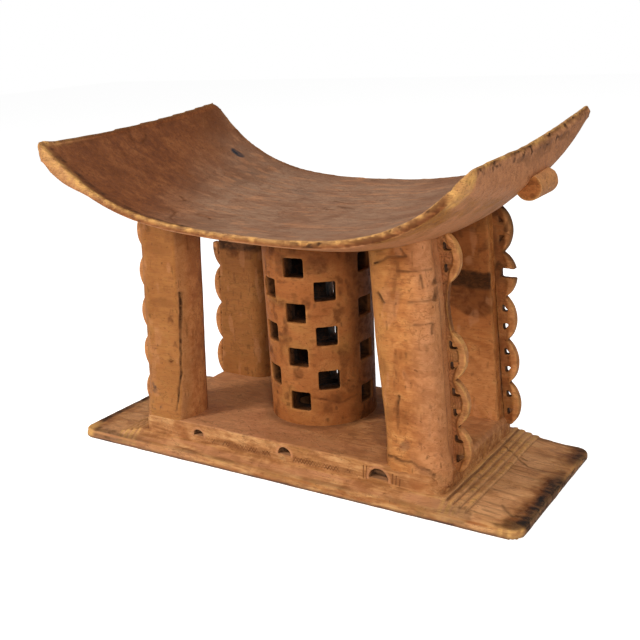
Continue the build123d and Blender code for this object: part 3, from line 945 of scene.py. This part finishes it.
def dress_front_right():
    post = make_post("post_front_right", 11)
    x, y, z = post.points.T
    post.shift(RIGHT_INNER_SHIFT * ramp(138, 128, x + POST_LEAN * z) * ramp(165, 70, z), RIGHTWARD)
    fin_low, fin_high = box("fin_front_right")
    outer = ramp(0.2, 0.7, post.normals()[:, 0]) * ramp(fin_high[1], fin_low[1], y)
    post.shift(OUTER_BULGE * outer * ramp(275, 215, z), RIGHTWARD)
    face = post.points[:, ::2]
    front = post.facing(FORWARD, 0.3)
    # the post's right part is painted paler and pinker: its colour, and partly a painted sheen
    post.paint(ramp(152, 180, x) * (0.7 + 0.3 * post.noise(26, 34)), pale=0.9)
    post.paint(ramp(146, 128, x), olive=0.55)
    for path in RIGHT_CRACKS:
        crack(post, face, path, FORWARD, depth=1.0, width=1.9, strength=0.85)
    for path in RIGHT_DASHES:
        crack(post, face, path, None, width=1.6, strength=0.8 * ramp(20, 12, y - FRONT_FACE))
    for path in RIGHT_LINES:
        crack(post, face, path, FORWARD, depth=0.35, strength=0.55)
    bent = wander(post.points, 3, 12, 35)[:, ::2]
    spotted = post.cloud(0.0, 0.35, (5, 5, 12), 38, 2)
    post.paint(front * near_path(bent, RIGHT_STAIN, 8) * spotted, brown=0.55)
    post.speckle(ramp(160, 172, x) * ramp(130, 90, z), (2.6, 2.6, 15), 39, 0.35, brown=0.55)
    post.spots(front, bent, RIGHT_KNOT, ink=0.35)
    post.spots(front, bent, RIGHT_FOOT_STAINS, brown=0.9)
    post.finish(WOOD_POST)


def dress_back_left():
    post = make_post("post_back_left", 12)
    bent = wander(post.points, 3, 14, 36)[:, ::2]
    front = post.facing(FORWARD, 0.3)
    post.paint(front * ramp(202, 207, bent[:, 1]), dirt=0.85)
    post.spots(front, bent, BACK_LEFT_STAIN, 0.8, brown=0.8)
    # olive tint, and the front painted darker all over: painted shade of the seat
    post.paint(front, olive=0.5, brown=0.42)
    post.spots(front, bent, BACK_LEFT_SPOTS, brown=0.7)
    post.finish(WOOD_POST)


def dress_back_right():
    post = make_post("post_back_right", 13)
    bent = wander(post.points, 3, 14, 37)[:, ::2]
    across, height = bent.T
    front = post.facing(FORWARD, 0.3)
    band = front * ramp(186, 190, height) * ramp(209, 205, height)
    post.paint(band, brown=1, dirt=1)
    post.speckle(front * ramp(212, 222, height), (7, 7, 14), 40, 0.1, dirt=0.3)
    post.paint(front * ramp(140, 80, height), amber=0.4)
    lower = ramp(150, 156, height - 10 * np.abs(across - 163) / 22) * ramp(196, 188, height)
    post.paint(front * lower, brown=0.85)
    post.spots(front, bent, BACK_RIGHT_STAIN, 0.6, brown=0.45)
    # the front painted a little darker all over: painted shade of the seat
    post.paint(front, brown=0.2)
    post.paint(front * ramp(110, 165, post.points[:, 2]), red=0.9)
    post.finish(WOOD_POST)


# ---------------- fins and lugs
RIM_WIDTH = 7
FIELD_DEPTH = 1.1
LINE_PITCH, LINE_DEPTH = 2.6, 0.45
RAY_WAY, RAY_PITCH = (0.6, 0.8), 1.9
FIN_ROOT = 190  # out from the middle of the stool, at the plinth's top
TOP_LOBE = 251
TOP_PIERCINGS = ((7, 19), (-4.5, -16))  # base and tip of each triangle, above the lobe's middle
PIERCING_REACH = (3, 14)  # near and far corner of each, out from the fin's root
CLOG_DEPTH = 1.3


def from_outline(fin, side):
    """How far each point lies from the fin's outer outline, seen from the front."""
    x, _, z = fin.points.T
    row = np.round(z).astype(int)
    edge = np.full(row.max() + 1, -np.inf)
    np.maximum.at(edge, row, side * x)
    best = np.full(len(x), np.inf)
    for height in np.flatnonzero(np.isfinite(edge)):
        best = np.minimum(best, np.hypot(side * x - edge[height], z - height))
    return best


def clogged(name, side):
    """Prisms that fill the two piercings of a fin's top lobe to just below its faces."""
    low, high = box(name)
    root = FIN_ROOT - POST_LEAN * (TOP_LOBE - PLINTH_TOP)
    near, far = PIERCING_REACH
    plugs = []
    for base, tip in TOP_PIERCINGS:
        triangle = ((near, base), (far, base), (near, tip))
        corners = [(side * (root + out), TOP_LOBE + up) for out, up in triangle]
        plugs.append((corners, low[1] + CLOG_DEPTH, high[1] - CLOG_DEPTH))
    return plugs


def make_fin(corner, seed, side, dark=0.0, carved=1.0, grow=1.4, plugs=()):
    fin = Carving(f"fin_{corner}", 0.85, (f"post_{corner}", "plinth", "seat"), smoothing=2, plugs=plugs)
    fin.snap(0.4)
    inward = from_outline(fin, side)
    x, _, z = fin.points.T
    reach = side * x + inward - FIN_ROOT + POST_LEAN * (z - PLINTH_TOP)
    wide = RIM_WIDTH * (0.1 + 0.9 * ramp(5, 19, reach)) + 1.2 * fin.noise(12, seed + 1)
    fin.shift(grow * side * ramp(5, 15, reach) * ramp(8, 2, inward), RIGHTWARD)
    bow = np.abs(fin.normals()[:, 1])
    field = ramp(0.7, 0.9, bow) * ramp(wide - 0.8, wide + 0.8, inward)
    fin.push(-FIELD_DEPTH * carved * field)
    weather(fin, seed, wave=0.2, wear=0.15, gold=0.3)
    fin.push(0.4 * ramp(0.6, 0.3, bow) * ramp(3, 1, inward))
    rim = ramp(wide, wide - 2.5, inward + 1.2 * fin.noise(6, seed + 12, 2))
    lobe = ramp(8, 13, reach)
    fin.paint(lobe * rim * (0.5 + 0.6 * fin.cloud(-0.3, 0.3, 9, seed + 2)), amber=0.9 - 0.5 * dark)
    fin.paint(lobe * rim * ramp(4, 1.5, inward), tan=0.2 * carved)
    fin.paint(field, pale=0.35 * carved)
    fin.speckle(ramp(1.8, 0.6, inward) * lobe, (5, 5, 9), seed + 8, 0, gold=0.6 - 1.2 * dark)
    fin.paint(1 - rim, red=0.3)
    fin.paint((1 - lobe) * ramp(10, 6, reach), brown=0.8)
    # painted shade: the walls inside the fin's piercings are painted very dark
    pierced = ramp(0.7, 0.4, bow) * ramp(wide + 0.5, wide + 2, inward)
    fin.paint(fin.spread(pierced, 2), dirt=1.6)
    arcs = ramp(0.1, 0.8, np.sin(2 * np.pi * inward / LINE_PITCH + 3 * fin.noise(8, seed + 3)))
    slanting = fin.points[:, ::2] @ RAY_WAY
    rays = ramp(0.2, 0.9, np.sin(slanting * RAY_PITCH + 4 * fin.noise(7, seed + 4)))
    which = fin.cloud(-0.1, 0.1, 22, seed + 5)
    pits = fin.fleck(2.6, seed + 9, 0.15) * ramp(190, 215, z)
    lines = field * np.maximum(0.75 * (arcs * which + rays * (1 - which)), pits) * carved
    fin.carve(lines, LINE_DEPTH, "dirt", 0.6)
    fin.speckle(rim, (9, 5, 3), seed + 10, 0.15, brown=0.6)
    high = ramp(185, 200, z) * (dark > 0)
    fin.paint((dark + 0.75 * high) * (0.7 + 0.5 * fin.noise(11, seed + 6)), brown=1)
    grime = np.maximum(ramp(2.5, 0.5, inward), fin.fleck((9, 9, 14), seed + 11, 0.2))
    fin.paint(high * grime, dirt=0.6)
    fin.speckle(ramp(6, 0, reach - inward), (6, 6, 9), seed + 7, 0.0, dirt=0.35)
    fin.finish(WOOD_FIN)


def make_lug(name, seed):
    lug = Carving(name, 0.9, ("seat",))
    weather(lug, seed, wave=0.4, wear=0.6, gold=0.8)
    ends = ramp(0.6, 0.9, np.abs(lug.normals()[:, 1]))
    lug.paint(ends, red=0.8)
    lug.paint(1 - ends, amber=0.7, tan=0.5)
    lug.speckle(ends, 6, seed + 1, 0.1, brown=0.6)
    lug.speckle(1 - ends, (8, 14, 8), seed + 2, 0.1, brown=0.5)
    lug.finish(WOOD_FIN)


make_seat()
make_board()
make_plinth()
make_drum()
dress_front_left()
dress_front_right()
dress_back_left()
dress_back_right()
FINS = (
    ("front_left", 20, -1, {}),
    ("front_right", 21, 1, {"grow": 0}),
    ("back_left", 22, -1, {"dark": 0.25, "carved": 0.6}),
    ("back_right", 23, 1, {"dark": 0.3, "carved": 0.35, "plugs": clogged("fin_back_right", 1)}),
)
for corner, seed, side, own in FINS:
    make_fin(corner, seed, side, **own)
make_lug("lug_left", 30)
make_lug("lug_right", 31)


# ---------------- stage
CAMERA_PLACE = (0.57735, -0.89593, 0.47603)
CAMERA_RIGHT, CAMERA_UP = (0.8432, 0.5351, -0.0522), (-0.1028, 0.2557, 0.9613)
CAMERA_BACK = (0.5277, -0.8052, 0.2706)
LENS = {"sensor_width": 36, "lens": 55.69, "shift_x": 0.0098, "shift_y": -0.0376, "clip_start": 0.01}
WARM, WHITE = (1, 0.97, 0.93), (1, 1, 1)
LAMPS = (  # name, place, size, power, colour
    ("key_left", (-1.35, -1.58, 1.05), 0.45, 34, WARM),
    ("key_right", (1.25, -1.6, 0.95), 0.5, 22, WARM),
    ("top_soft", (0.3, 0.25, 2.0), 1.2, 15, WHITE),
)
LAMP_AIM = (0, 0, 0.17)
FLOOR_HALF = 6
FLOOR_SHADE = (0.8, 0.8, 0.8)
FLOOR_GLOW = 0.8
SOFT_LIGHT, SEEN_LIGHT = 0.22, 1.0  # the world's strength on the stool, and as the camera sees it


def place_object(name, data):
    made = bpy.data.objects.new(name, data)
    bpy.context.scene.collection.objects.link(made)
    return made


def make_camera():
    data = bpy.data.cameras.new("camera")
    for key, value in LENS.items():
        setattr(data, key, value)
    camera = place_object("camera", data)
    turn = Matrix((CAMERA_RIGHT, CAMERA_UP, CAMERA_BACK)).transposed().to_4x4()
    camera.matrix_world = Matrix.Translation(CAMERA_PLACE) @ turn
    bpy.context.scene.camera = camera


def make_lamp(name, place, size, power, colour):
    data = bpy.data.lights.new(name, "AREA")
    data.size, data.energy, data.color = size, power, colour
    lamp = place_object(name, data)
    lamp.location = place
    lamp.rotation_euler = (Vector(LAMP_AIM) - Vector(place)).to_track_quat("-Z", "Y").to_euler()


def make_floor():
    """A pale floor that shows white to the camera and still takes the stool's shadow."""
    material = bpy.data.materials.new("studio_floor")
    tree = empty_tree(material)
    seen = make_node(tree, "ShaderNodeLightPath").outputs["Is Camera Ray"]
    cloth = make_node(tree, "ShaderNodeBsdfDiffuse", {"Color": FLOOR_SHADE})
    strength = arithmetic(tree, "MULTIPLY", seen, FLOOR_GLOW)
    glow = make_node(tree, "ShaderNodeEmission", {"Strength": strength})
    both = make_node(tree, "ShaderNodeAddShader", {0: cloth.outputs[0], 1: glow.outputs[0]})
    make_node(tree, "ShaderNodeOutputMaterial", {0: both.outputs[0]})
    mesh = bpy.data.meshes.new("floor")
    corners = [(FLOOR_HALF * x, FLOOR_HALF * y, 0) for x, y in ((-1, -1), (1, -1), (1, 1), (-1, 1))]
    mesh.from_pydata(corners, [], [(0, 1, 2, 3)])
    mesh.materials.append(material)
    floor = place_object("floor", mesh)
    floor.location.z = -FLOOR_GAP * MM


def make_world():
    """Soft light from all round, which the camera sees as plain white."""
    world = bpy.data.worlds.new("studio")
    tree = empty_tree(world)
    seen = make_node(tree, "ShaderNodeLightPath").outputs["Is Camera Ray"]
    soft, white = (
        make_node(tree, "ShaderNodeBackground", {"Color": WHITE, "Strength": strength}).outputs[0]
        for strength in (SOFT_LIGHT, SEEN_LIGHT)
    )
    chooser = make_node(tree, "ShaderNodeMixShader", {0: seen, 1: soft, 2: white})
    make_node(tree, "ShaderNodeOutputWorld", {0: chooser.outputs[0]})
    bpy.context.scene.world = world


make_camera()
make_floor()
make_world()
for lamp in LAMPS:
    make_lamp(*lamp)
bpy.context.scene.view_settings.view_transform = "Standard"
